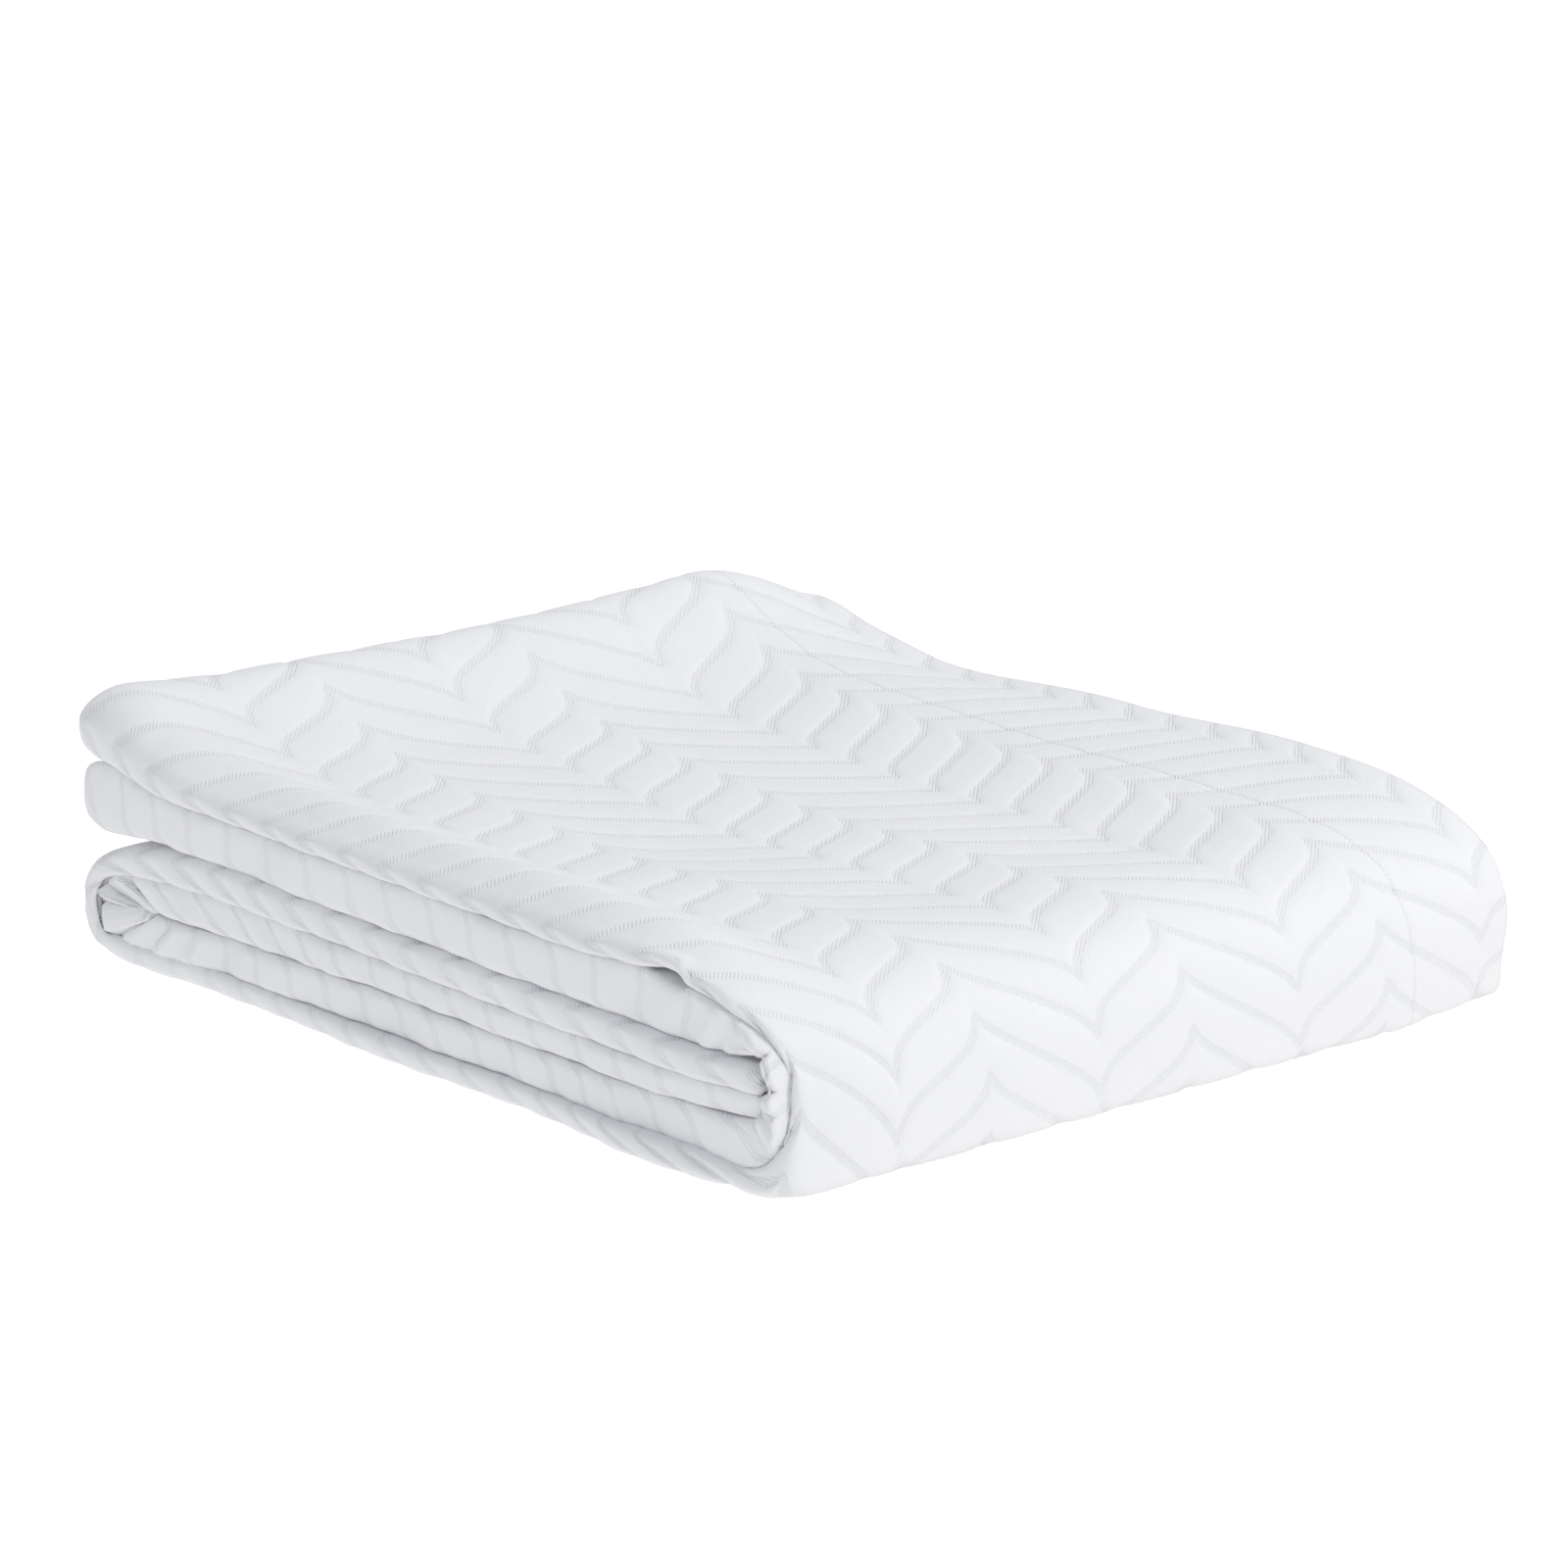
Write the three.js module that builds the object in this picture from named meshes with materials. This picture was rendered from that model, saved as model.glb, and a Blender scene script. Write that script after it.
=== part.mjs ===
// A quilted coverlet, folded into a low bundle and lying on a surface.
// The cloth is one solid sheet. Across its depth (Y) it is pleated back and forth into four layers,
// which show at the front as two soft rolls. That strip is then folded in thirds along X:
// the top third lies uppermost, wraps the right end, runs back along the floor,
// wraps the left end and ends between the other two.
// Lengths are in millimetres, +Z is up, and the origin is the middle of the bundle on the floor.
import * as THREE from 'three';

// Driving sizes of the folded bundle
const BACK_EDGE = 276; // y of the hem edges at the back
const FRONT_FOLD = -284; // y of the foremost roll
const FOLD_REACH = 9; // how far a front fold reaches past the straight cloth
const BACK_REACH = 6; // how far a back fold reaches at most, inside the hem edges
const CLOTH = 5; // thickness of the quilted cloth where nothing presses it
const HEM_CLOTH = 3; // thickness at the stitched hem edges
const LAYER_GAP = 2; // air between layers that lie on each other
const LOBE_LENGTH = 26; // the rounded last stretch of each cut end
const TIP_LENGTH = 5; // its tip, where it turns most
const PRESSED_FLAT = 0.2; // what the bundle's own weight flattens under it

// Quilting: sewn channels in chevrons, one row after another along X
const ROW = 36.7; // from one channel to the next
const CHEVRON_WIDTH = 153; // from one valley point to the next, across the cloth
const ARM_STEPS = 3; // half rows that an arm of a chevron climbs from valley to peak
const VALLEY_Y = 255; // y of one line of valley points
const THIRD = CHEVRON_WIDTH / 3; // two columns of the quilting
const CHANNEL_SINK = 1.8; // depth of a channel
const QUILTED_ROWS = 20; // rows on the top and over the right end

// How much lower the bundle is than at its front. SAG is the largest share of its height that it
// loses, and each row holds how much of that is lost at a depth y, at five places from left to right.
// The depths between the first and the last are columns of the quilting.
const SAG = 0.25;
const SAG_X = { leftEnd: -310, left: -190, middle: 0, right: 150, rightEnd: 320 };
const SAG_ROWS = [
  { y: FRONT_FOLD, leftEnd: 0, left: 0, middle: 0, right: 0, rightEnd: 0 },
  { y: VALLEY_Y - 10 * THIRD, leftEnd: 0.05, left: 0.1, middle: 0.12, right: 0.1, rightEnd: 0 },
  { y: VALLEY_Y - 9 * THIRD, leftEnd: 0.16, left: 0.28, middle: 0.43, right: 0.36, rightEnd: 0.05 },
  { y: VALLEY_Y - 7 * THIRD, leftEnd: 0.25, left: 0.54, middle: 0.9, right: 0.67, rightEnd: 0.1 },
  { y: VALLEY_Y - 3 * THIRD, leftEnd: 0.3, left: 0.8, middle: 0.97, right: 0.88, rightEnd: 0.2 },
  { y: VALLEY_Y - THIRD, leftEnd: 0.34, left: 0.42, middle: 0.5, right: 0.4, rightEnd: 0.1 },
  { y: BACK_EDGE, leftEnd: 0.88, left: 0.63, middle: 0.32, right: 0.05, rightEnd: 0 },
];

// The folded profile at the front, one row for each place along the cloth, from the left end of the
// top third to the end of the middle third. inner and outer are the two faces of the strip, and
// split is the line between its two rolls. Each holds x and z.
const PROFILE = [
  { place: 'top, left end', inner: [-312, 74], split: [-311, 118], outer: [-313, 160] },
  { place: 'top, left lobes', inner: [-278, 76], split: [-276, 117], outer: [-280, 158] },
  { place: 'top, lobes end', inner: [-243, 79.5], split: [-240, 112], outer: [-240, 141] },
  { place: 'top, left', inner: [-190, 81], split: [-180, 109], outer: [-180, 125] },
  { place: 'top, middle', inner: [-40, 78], split: [-40, 106], outer: [-40, 122] },
  { place: 'top, right', inner: [120, 74], split: [120, 102], outer: [120, 121] },
  { place: 'right shoulder', inner: [205, 71], split: [215, 100], outer: [220, 113] },
  { place: 'right shoulder, low', inner: [252, 71], split: [266, 89], outer: [272, 100] },
  { place: 'right end, top', inner: [288, 66], split: [292, 75], outer: [299, 83] },
  { place: 'right end, middle', inner: [293, 52], split: [303, 52], outer: [312, 55] },
  { place: 'right end, low', inner: [290, 40], split: [303, 24], outer: [313, 22] },
  { place: 'right end, foot', inner: [276, 34], split: [288, 13], outer: [299, 3] },
  { place: 'floor, right', inner: [240, 35], split: [240, 14], outer: [266, 0] },
  { place: 'floor, middle right', inner: [110, 36], split: [110, 16], outer: [120, 0] },
  { place: 'floor, middle', inner: [-30, 37], split: [-30, 16], outer: [-30, 0] },
  { place: 'floor, middle left', inner: [-160, 35], split: [-170, 15], outer: [-180, 0] },
  { place: 'floor, left', inner: [-225, 34], split: [-256, 13], outer: [-274, 0] },
  { place: 'left end, foot', inner: [-240, 34.5], split: [-284, 17], outer: [-298, 9] },
  { place: 'left end', inner: [-246, 36.2], split: [-292, 34], outer: [-309, 30] },
  { place: 'left end, top', inner: [-240, 38], split: [-284, 48], outer: [-299, 55] },
  { place: 'middle third, left', inner: [-225, 38.5], split: [-252, 56], outer: [-270, 68] },
  { place: 'middle third, lobes', inner: [-160, 39], split: [-180, 60], outer: [-200, 74] },
  { place: 'middle third', inner: [-30, 41], split: [-30, 57], outer: [-30, 73] },
  { place: 'middle third, right', inner: [120, 40], split: [120, 54], outer: [120, 69] },
  { place: 'middle third, end lobes', inner: [210, 39], split: [215, 53], outer: [212, 67] },
  { place: 'middle third, end', inner: [274, 40], split: [276, 52], outer: [274, 64] },
];

const smooth = (from, to, value) => THREE.MathUtils.smoothstep(value, from, to);
const mix = THREE.MathUtils.lerp;

function line(name) {
  const points = PROFILE.map((row) => new THREE.Vector3(row[name][0], 0, row[name][1]));
  const curve = new THREE.CatmullRomCurve3(points, false, 'centripetal');
  curve.arcLengthDivisions = 1000;
  return curve;
}

const LINES = { inner: line('inner'), split: line('split'), outer: line('outer') };
const SHEET_LENGTH = LINES.outer.getLength();

// The share of its height at the front that the bundle keeps at x and y
function heightShare(x, y) {
  const nextRow = Math.max(1, SAG_ROWS.findIndex((row) => row.y >= Math.min(y, BACK_EDGE)));
  const [front, back] = [SAG_ROWS[nextRow - 1], SAG_ROWS[nextRow]];
  const depth = THREE.MathUtils.clamp((y - front.y) / (back.y - front.y), 0, 1);
  const names = Object.keys(SAG_X);
  const nextName = THREE.MathUtils.clamp(names.findIndex((name) => SAG_X[name] >= x), 1, names.length - 1);
  const [a, b] = [names[nextName - 1], names[nextName]];
  const sideways = smooth(SAG_X[a], SAG_X[b], x);
  return 1 - SAG * mix(mix(front[a], back[a], depth), mix(front[b], back[b], depth), sideways);
}

// A point of one of the three lines, at a length along the sheet and a depth y
function onLine(name, along, y) {
  const t = LINES.outer.getUtoTmapping(along / SHEET_LENGTH);
  const point = LINES[name].getPoint(t);
  point.z *= heightShare(point.x, y);
  return point;
}

// How much a roll keeps of its height near the cut ends of the sheet, where its layers close up
function roundedEnd(along) {
  const toEnd = Math.min(along, SHEET_LENGTH - along);
  const turn = 1 - Math.min(toEnd / LOBE_LENGTH, 1);
  return Math.sqrt(1 - turn * turn);
}

// The middle line of one of the four layers, counted from the outer face of the strip
function layerPoint(layer, along, y) {
  const outerRoll = layer < 2;
  const high = onLine(outerRoll ? 'outer' : 'split', along, y);
  const low = onLine(outerRoll ? 'split' : 'inner', along, y);
  const middle = high.clone().add(low).multiplyScalar(0.5);
  const direction = high.clone().sub(low);
  const half = direction.length() / 2;
  direction.normalize();
  const toHem = Math.min(along, SHEET_LENGTH - along) / LOBE_LENGTH;
  const thickness = Math.min(mix(HEM_CLOTH, CLOTH, smooth(0, 1, toHem)), half - LAYER_GAP);
  const closed = (thickness + LAYER_GAP) / 2;
  const offset = mix(closed, half - closed, roundedEnd(along));
  const side = layer % 2 === 0 ? 1 : -1;
  return { point: middle.addScaledVector(direction, side * offset), direction, side, thickness };
}

// The places across the sheet, from the hem edge on top to the hem edge underneath. A straight place
// lies in a layer at a depth y. A turn place lies in the fold that joins a layer to the next one,
// at an angle that grows from 0 to 180 degrees.
const STRAIGHT_BACK = BACK_EDGE - FOLD_REACH;
const STRAIGHT_FRONT = FRONT_FOLD + FOLD_REACH;
const TOP_STEP = CHEVRON_WIDTH / (2 * ARM_STEPS);

function acrossPlaces() {
  const places = [{ layer: 0, y: BACK_EDGE }];
  for (let y = VALLEY_Y; y > STRAIGHT_FRONT + TOP_STEP / 2; y -= TOP_STEP) {
    places.push({ layer: 0, y });
  }
  places.push({ layer: 0, y: STRAIGHT_FRONT });
  const hiddenDepths = SAG_ROWS.slice(1, -1).map((row) => row.y);
  const turns = (layer, count) => {
    for (let i = 1; i < count; i += 1) places.push({ layer, turn: (180 * i) / count });
  };
  turns(0, 4);
  places.push(...[STRAIGHT_FRONT, ...hiddenDepths, STRAIGHT_BACK].map((y) => ({ layer: 1, y })));
  turns(1, 3);
  places.push(...[STRAIGHT_BACK, ...hiddenDepths.toReversed(), STRAIGHT_FRONT].map((y) => ({ layer: 2, y })));
  turns(2, 4);
  places.push(...[STRAIGHT_FRONT, ...hiddenDepths, BACK_EDGE].map((y) => ({ layer: 3, y })));
  return places;
}

// The places along the sheet: two for each row of quilting, then the profile's own rows.
// Each cut end has one more, at its tip.
function alongPlaces() {
  const quilted = QUILTED_ROWS * ROW;
  const places = [0, TIP_LENGTH];
  for (let along = ROW / 2; along <= quilted; along += ROW / 2) places.push(along);
  const divisions = LINES.outer.arcLengthDivisions;
  const lengths = LINES.outer.getLengths(divisions);
  PROFILE.forEach((row, i) => {
    const along = lengths[Math.round((divisions * i) / (PROFILE.length - 1))];
    if (along > quilted + ROW / 2) places.push(along);
  });
  places.splice(-1, 0, SHEET_LENGTH - LOBE_LENGTH, SHEET_LENGTH - TIP_LENGTH);
  return places;
}

// A fold is half an ellipse from one layer to the next, and its outer side faces the front,
// while the cloth's good side faces inwards in the fold at the back
function foldPlace(place, along) {
  const front = place.layer % 2 === 0;
  const yStart = front ? STRAIGHT_FRONT : STRAIGHT_BACK;
  const from = layerPoint(place.layer, along, yStart);
  const to = layerPoint(place.layer + 1, along, yStart);
  const radius = from.point.clone().sub(to.point).multiplyScalar(0.5);
  const middle = from.point.clone().add(to.point).multiplyScalar(0.5);
  const angle = THREE.MathUtils.degToRad(place.turn);
  const high = radius.length();
  const reach = front ? -FOLD_REACH : Math.min(high, BACK_REACH);
  const point = middle.addScaledVector(radius, Math.cos(angle));
  point.y = yStart + reach * Math.sin(angle);
  const normal = radius.clone().normalize().multiplyScalar(Math.cos(angle) * Math.abs(reach));
  normal.y = Math.sign(reach) * Math.sin(angle) * high;
  normal.normalize().multiplyScalar(front ? 1 : -1);
  return { point, normal, thickness: mix(from.thickness, to.thickness, place.turn / 180) };
}

function straightPlace(place, along) {
  const { point, direction, side, thickness } = layerPoint(place.layer, along, place.y);
  point.y = place.y;
  return { point, normal: direction.multiplyScalar(side), thickness };
}

// A channel steps sideways by half a row from one column of the top layer to the next,
// so its places are every second one, like the squares of one colour on a chessboard
function isSewn(place, row, column) {
  return place.layer === 0 && !place.turn && row < 2 * QUILTED_ROWS && (row + column) % 2 === 1;
}

// A point on one face of the cloth. The good side carries the sewn channels where it shows.
function clothPoint(place, along, sewn, goodSide) {
  const { point, normal, thickness } = place.turn ? foldPlace(place, along) : straightPlace(place, along);
  const offset = (goodSide ? 0.5 : -0.5) * thickness - (goodSide && sewn ? CHANNEL_SINK : 0);
  return point.addScaledVector(normal, offset);
}

// The squares of the good side are cut corner to corner along the channels. On every second arm
// of the chevrons that is the other diagonal than the box comes with. The second layer takes it too,
// so that it is cut the same way as the third, which runs back and lies face to face with it.
function turnDiagonals(sheet, across, rows) {
  const goodFace = sheet.groups[4];
  const index = sheet.index;
  const isSecondArm = (column) => Math.floor((column - 1) / ARM_STEPS) % 2 === 1;
  const takesOther = (layer, column) => layer === 1 || (layer === 0 && isSecondArm(column));
  for (let column = 0; column < across.length - 1; column += 1) {
    for (let row = 0; row < rows && takesOther(across[column].layer, column); row += 1) {
      const first = goodFace.start + 6 * (column * rows + row);
      const [a, b, d, , c] = [0, 1, 2, 3, 4].map((k) => index.getX(first + k));
      [a, b, c, a, c, d].forEach((vertex, k) => index.setX(first + k, vertex));
    }
  }
}

function foldedSheet() {
  const across = acrossPlaces();
  const along = alongPlaces();
  const sheet = new THREE.BoxGeometry(2, 2, 2, along.length - 1, across.length - 1, 1);
  const position = sheet.attributes.position;
  for (let i = 0; i < position.count; i += 1) {
    const row = Math.round(((position.getX(i) + 1) / 2) * (along.length - 1));
    const column = Math.round(((1 - position.getY(i)) / 2) * (across.length - 1));
    const sewn = isSewn(across[column], row, column);
    const point = clothPoint(across[column], along[row], sewn, position.getZ(i) > 0);
    position.setXYZ(i, point.x, point.y, Math.max(point.z - LAYER_GAP / 2 - PRESSED_FLAT, 0));
  }
  turnDiagonals(sheet, across, along.length - 1);
  sheet.computeBoundingBox();
  const { min, max } = sheet.boundingBox;
  sheet.translate(-(min.x + max.x) / 2, -(min.y + max.y) / 2, 0);
  sheet.computeVertexNormals();
  return sheet;
}

const whiteCotton = new THREE.MeshStandardMaterial({ color: 0xf1f1f4, roughness: 0.9, metalness: 0 });

const coverlet = new THREE.Mesh(foldedSheet(), whiteCotton);
coverlet.name = 'coverlet';

const object = new THREE.Group();
object.add(coverlet);

export default object;
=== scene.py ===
"""A folded quilted coverlet: one thin sheet of cloth on the folds of its solid, on a pale floor.

The sheet is worked out as a grid. "along" runs over the folded thirds, from the left end of the
top third to the end of the middle third. "across" runs from the hem edge on top, over the four
layers of the strip, to the hem edge underneath. Lengths are in millimetres until the mesh is made.
"""
import math

import bpy
import numpy as np
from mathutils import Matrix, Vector


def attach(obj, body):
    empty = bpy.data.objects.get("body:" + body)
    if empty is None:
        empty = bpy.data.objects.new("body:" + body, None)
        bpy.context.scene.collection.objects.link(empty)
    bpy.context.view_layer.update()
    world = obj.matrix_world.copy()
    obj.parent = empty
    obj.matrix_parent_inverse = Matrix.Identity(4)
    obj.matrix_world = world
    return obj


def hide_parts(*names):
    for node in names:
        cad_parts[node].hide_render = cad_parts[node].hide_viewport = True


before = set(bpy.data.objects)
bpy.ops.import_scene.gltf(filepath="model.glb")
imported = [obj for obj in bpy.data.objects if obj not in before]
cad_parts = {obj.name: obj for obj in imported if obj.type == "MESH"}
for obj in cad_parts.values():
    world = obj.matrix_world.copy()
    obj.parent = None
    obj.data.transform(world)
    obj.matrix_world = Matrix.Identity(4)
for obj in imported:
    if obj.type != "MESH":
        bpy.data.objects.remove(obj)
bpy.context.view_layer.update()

MM = 0.001
NO_LENGTH = 1e-9

# Camera
IMAGE_PX = 1600
CAMERA_AZIMUTH = 48.98
CAMERA_ELEVATION = 17.37
CAMERA_DISTANCE = 5.0
FOCAL_PX = 8738
ORIGIN_PX = (806.4, 990.8)
SENSOR_MM = 36

# Depth of the bundle: its back and front, how far before them the flat of a layer ends, and how
# far at most the hidden fold at the back reaches past that
BACK_EDGE = 276
FRONT_FOLD = -284
FOLD_REACH = 9
STRAIGHT_BACK = BACK_EDGE - FOLD_REACH
STRAIGHT_FRONT = FRONT_FOLD + FOLD_REACH
BACK_REACH = 6

# Thickness of the cloth and of its cut ends, and the least gaps over the floor and between layers
CLOTH = 5.4
HEM_CLOTH = 3.4
FLOOR_GAP = 0.4
LAYER_GAP = 0.3

# Cut ends of the sheet: the length over which each roll closes at the left, and both at the right,
# and the radius of their front corners
LOBE_LENGTHS = (31, 32)
END_LENGTH = 7
END_ROUNDNESS = 2.2
LOBE_CORNER = 11
END_CORNER = 4

# Rolls at the front. Under 1 they are fuller than round. The crease between them is nearly closed
# over the right end
FULLNESS = 0.46
LOBE_FULLNESS = 0.85
LOBE_END = 90
CREASE = 2.8
CREASE_CLOSED = (548, 570, 700, 745)
CREASE_LOSS = 0.85

# How far behind the front the outer layer starts to turn down, at places along the cloth
REACH_PLACES = (0, 480, 600, 700, 1270, 1330, 1440)
REACHES = (30, 27, 24, 22, 16, 20, 10)

# How it turns down, from round to nearly square
ROUND_PLACES = (1330, 1440)
ROUND_POWERS = (0.52, 0.23)

# How high up the roll its foremost line lies, as a share of the roll's height
MIDDLE_HEIGHT = 0.5
FRONT_PLACES = (0, 40, 480, 640)
FRONT_HEIGHTS = (0.42, 0.26, 0.22, MIDDLE_HEIGHT)

# The roll on top stands up a little along the front
RIM_LIFT = 7.5
RIM_Y = -252
RIM_WIDTH = 24
RIM_ALONG = (20, 190, 500, 620)

# How far the folds stay behind the straight front, at places along the cloth
RECESS_FROM_Y = -170
RECESS_PLACES = (450, 560, 640, 668, 712, 754, 802, 866, 945, 1025, 1107, 1200)
OUTER_RECESS = (0, 7, 22, 26, 4, -3, -10, -5, -1, -8, -2, 0)
INNER_RECESS = (0, 7, 9, 10, 6, 2, 0, 0, 0, 0, 0, 0)
INNER_DEPTH = 1.5
END_RECESS = 9
END_RECESS_LENGTH = 80

# Unevenness of the folds along the front, as depth, pitch and phase, and where the inner roll is
# crumpled inside the two end wraps, as place and width
OUTER_WAVES = [(1.3, 210, 2.6), (0.6, 61, 0.4)]
INNER_WAVES = [(1.6, 150, 0.7), (0.8, 47, 1.9)]
CRUMPLE_WAVE = (5, 27, 1.1)
CRUMPLES = [(1353, 55), (640, 60)]
WAVE_SHARES = (0.55, 0.45)
SECOND_PITCH = 1.73
SECOND_PHASE = 2.1

# Right wrap: its front corner is drawn in, and so is its foot at the back
SIDE_CORNER = 4
SIDE_CORNER_DEPTH = 60
SIDE_CORNER_POWER = 1.5
SIDE_CORNER_X = (240, 320)
SIDE_CORNER_Z = (5, 40)
FOOT_PULL = 13
FOOT_FROM_Y = 180
FOOT_PLACE = 705
FOOT_WIDTH = 42

# Two short gaps at the right: the creases between the top third's rolls and under them gape
NOTCH_OPENING = 5
NOTCH_DROP = 0.6
NOTCH_CLOSING = (2, 10)
BETWEEN_ROLLS_X = (190, 226)
UNDER_ROLLS_X = (268, 290)
NOTCH_Y = (-250, -190)
TOP_THIRD_END = (600, 640)

# Chevrons. The sewn channels follow one another along the cloth at ROW, and each zigzags across it
ROW = 36.2
ROW_PHASE = 4.5
ROW_SKEW = 0.031
ROW_STRETCH = 11
STRETCHED = (470, 640)
CHEVRON_WIDTH = 153
CHEVRON_DEPTH = 62
UPPER_ARM = 0.465
UPPER_HOOK = 0.42
LOWER_HOOK = 0.2
HOOK_POWER = 6
VALLEY_Y = 255

# Relief of the quilting
CHANNEL_HALF = 2.7
CHANNEL_INSIDE = 1.2
CHANNEL_EASE = 3.2
CHANNEL_SINK = 1.0
PUFF = 0.5
PUFF_REACH = 17
ROLL_RELIEF = 1.6
INNER_ROLL_RELIEF = 0.5
ON_FLOOR = (745, 775, 1290, 1320)
FLOOR_LOSS = 0.5
UNDER_TOP = (1400, 1440)
HEM_FADE = 14

# The wide hem along the back edge
HEM_SEAM_Y = 194
SEAM_HALF = 1.0
SEAM_SINK = 0.7
SEAM_CLEAR = 3.2

# Mesh grid. The rows of the part that shows follow the chevrons
FINE_STEP = 2.6
FRONT_TURNS = 16
BACK_TURNS = 6
HIDDEN_Y = [-240, -204, -153, -102, 0, 102, 153, 204, 240]
ROW_STEPS = (0, 1.6, 3.2, 5.2, 8, 11.5, 15, 18.1, 21.2, 24.7, 28.2, 31, 33, 34.6)
SHOWN_LENGTH = 778
FOLDED_STEP = 5.2
END_STEP = 2
SHEARED = (0, 130, 690, 860)
FOLD_LENGTHS = {0: 28, 1: 12, 2: 28}
LEFT_WRAP = (1270, 1440)

# Cells of the mesh, in grid steps along and across, from the fine ones that show to the hidden ones
FINE_CELL = (1, 1)
TURN_CELL = (2, 1)
BENT_CELL = (1, 4)
STRIP_CELL = (8, 1)
ROLL_BACK_CELL = (8, 4)
FLAT_CELL = (8, 16)

# How much lower the bundle lies than at its front, as a share of its height, and how much of that
# there is at each depth y, at the left end, left of the middle, in the middle, right of it and at
# the right end
SAG = 0.25
SAG_X = (-310, -190, 0, 150, 320)
SAG_ROWS = [
    # y, left end, left, middle, right, right end
    (-284, 0, 0, 0, 0, 0),
    (-242, 0.03, 0.05, 0.06, 0.05, 0),
    (-204, 0.16, 0.28, 0.43, 0.36, 0.05),
    (-102, 0.25, 0.54, 0.9, 0.67, 0.1),
    (20, 0.33, 0.66, 0.94, 0.77, 0.15),
    (102, 0.3, 0.8, 0.97, 0.88, 0.2),
    (204, 0.2, 0.42, 0.5, 0.4, 0.1),
    (276, 1.08, 0.78, 0.38, 0.1, 0.1),
]

# Folded profile at the front, one row for each place along the cloth: the inner face of the strip,
# the line between its two rolls and the outer face, each as x and z
PROFILE = [
    # place, inner, split, outer
    ("top, left end", (-312, 74), (-311, 119), (-313, 163)),
    ("top, left lobes", (-278, 76), (-276, 118), (-280, 158)),
    ("top, lobes end", (-243, 80), (-240, 111), (-240, 141)),
    ("top, left", (-190, 80), (-180, 108), (-180, 126)),
    ("top, middle", (-40, 77.4), (-40, 107), (-40, 123)),
    ("top, right", (120, 75.3), (120, 105), (120, 122)),
    ("right shoulder", (207, 72.9), (222, 105), (222, 117)),
    ("right shoulder, low", (260, 71.6), (274, 92), (275, 102)),
    ("right end, top", (293, 70.5), (299, 77), (299, 85)),
    ("right end, middle", (296, 53), (306, 53), (316, 56)),
    ("right end, low", (292, 42), (306, 26), (320, 22)),
    ("right end, foot", (280, 38.8), (293, 14), (317, 3)),
    ("floor, right", (238, 38.6), (244, 14), (282, 0)),
    ("floor, middle right", (110, 38.7), (110, 16), (120, 0)),
    ("floor, middle", (-30, 39.1), (-30, 16), (-30, 0)),
    ("floor, middle left", (-160, 37.6), (-170, 15), (-180, 0)),
    ("floor, left", (-225, 35), (-256, 13), (-274, 0)),
    ("left end, foot", (-240, 35.5), (-284, 17), (-298, 9)),
    ("left end", (-246, 36.6), (-292, 34), (-309, 30)),
    ("left end, top", (-240, 38), (-284, 48), (-299, 55)),
    ("middle third, left", (-225, 38.5), (-252, 56), (-270, 69)),
    ("middle third, lobes", (-160, 38.5), (-180, 60), (-200, 79)),
    ("middle third", (-30, 39.5), (-30, 58), (-30, 77)),
    ("middle third, right", (120, 39), (120, 56), (120, 75)),
    ("middle third, end lobes", (210, 38.9), (215, 55), (212, 72.5)),
    ("middle third, end", (293, 39.5), (297, 54), (291, 69)),
]
PROFILE_SAMPLES = 4001
CORNER_ROUNDING = 24

# Cotton
COTTON_SHADER = {
    "Roughness": 0.88,
    "Specular IOR Level": 0.25,
    "Sheen Weight": 0.12,
    "Sheen Roughness": 0.5,
}
RIB_PITCH = 2.1
WEAVE_PITCH = 0.9
STITCH_PITCH = 3.4
DIAGONAL = 0.707
BAND_EDGE = (-0.5, 0.4)
SEAM_EDGE = (0.3, 1.1)
WRINKLES = {"Scale": 38, "Detail": 3, "Distortion": 0.8}
TONE_PATCHES = {"Scale": 9}
COTTON_TONES = ((0.80, 0.803, 0.814, 1), (0.84, 0.84, 0.85, 1))
# Colour of the sewn channels, multiplied into the base colour at the share below: painted shade in
# the channels
PAINTED_CHANNEL_SHADE_TONE = (0.89, 0.895, 0.915, 1)
PAINTED_CHANNEL_SHADE_SHARE = 0.22

# Heights of the surface bumps in millimetres
RIB_BUMP = 0.16
WEAVE_BUMP = 0.03
BAND_BUMP = -0.12
SEAM_BUMP = -0.1
STITCH_BUMP = 0.2
WRINKLE_BUMP = 1.1

# Floor and light
FLOOR_HALF = 40
FLOOR_SHADER = {
    "Base Color": (0.03, 0.03, 0.03, 1),
    "Roughness": 0.9,
    "Emission Color": (1, 1, 1, 1),
    "Emission Strength": 1.0,
}
LIGHTS = [
    # name, place in metres, size, power, colour
    ("key from the right", (2.9, 1.0, 2.2), 1.2, 51, (1, 1, 1)),
    ("top", (-0.4, 1.6, 3.0), 1.6, 27, (1, 1, 1)),
    ("fill from the front", (0.7, -3.2, 1.5), 2.5, 15, (0.87, 0.92, 1.0)),
]
WORLD_COLOUR = (0.955, 0.965, 1.0, 1)
WORLD_STRENGTH = 0.525
DIFFUSE_BOUNCES = 8


def smooth(start, end, value):
    t = np.clip((value - start) / (end - start), 0, 1)
    return t * t * (3 - 2 * t)


def plateau(edges, value):
    """Rises from 0 to 1 between the first two edges and falls back between the last two."""
    start, full, falling, end = edges
    return smooth(start, full, value) * (1 - smooth(falling, end, value))


def hump(value, centre, width):
    return np.exp(-(((value - centre) / width) ** 2))


def mix(a, b, share):
    return a + (b - a) * share


def soft_line(value, places, heights, samples):
    """A line through a few points, with its corners rounded."""
    around = np.linspace(-CORNER_ROUNDING, CORNER_ROUNDING, samples)
    return np.mean([np.interp(value + off, places, heights) for off in around], axis=0)


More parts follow.
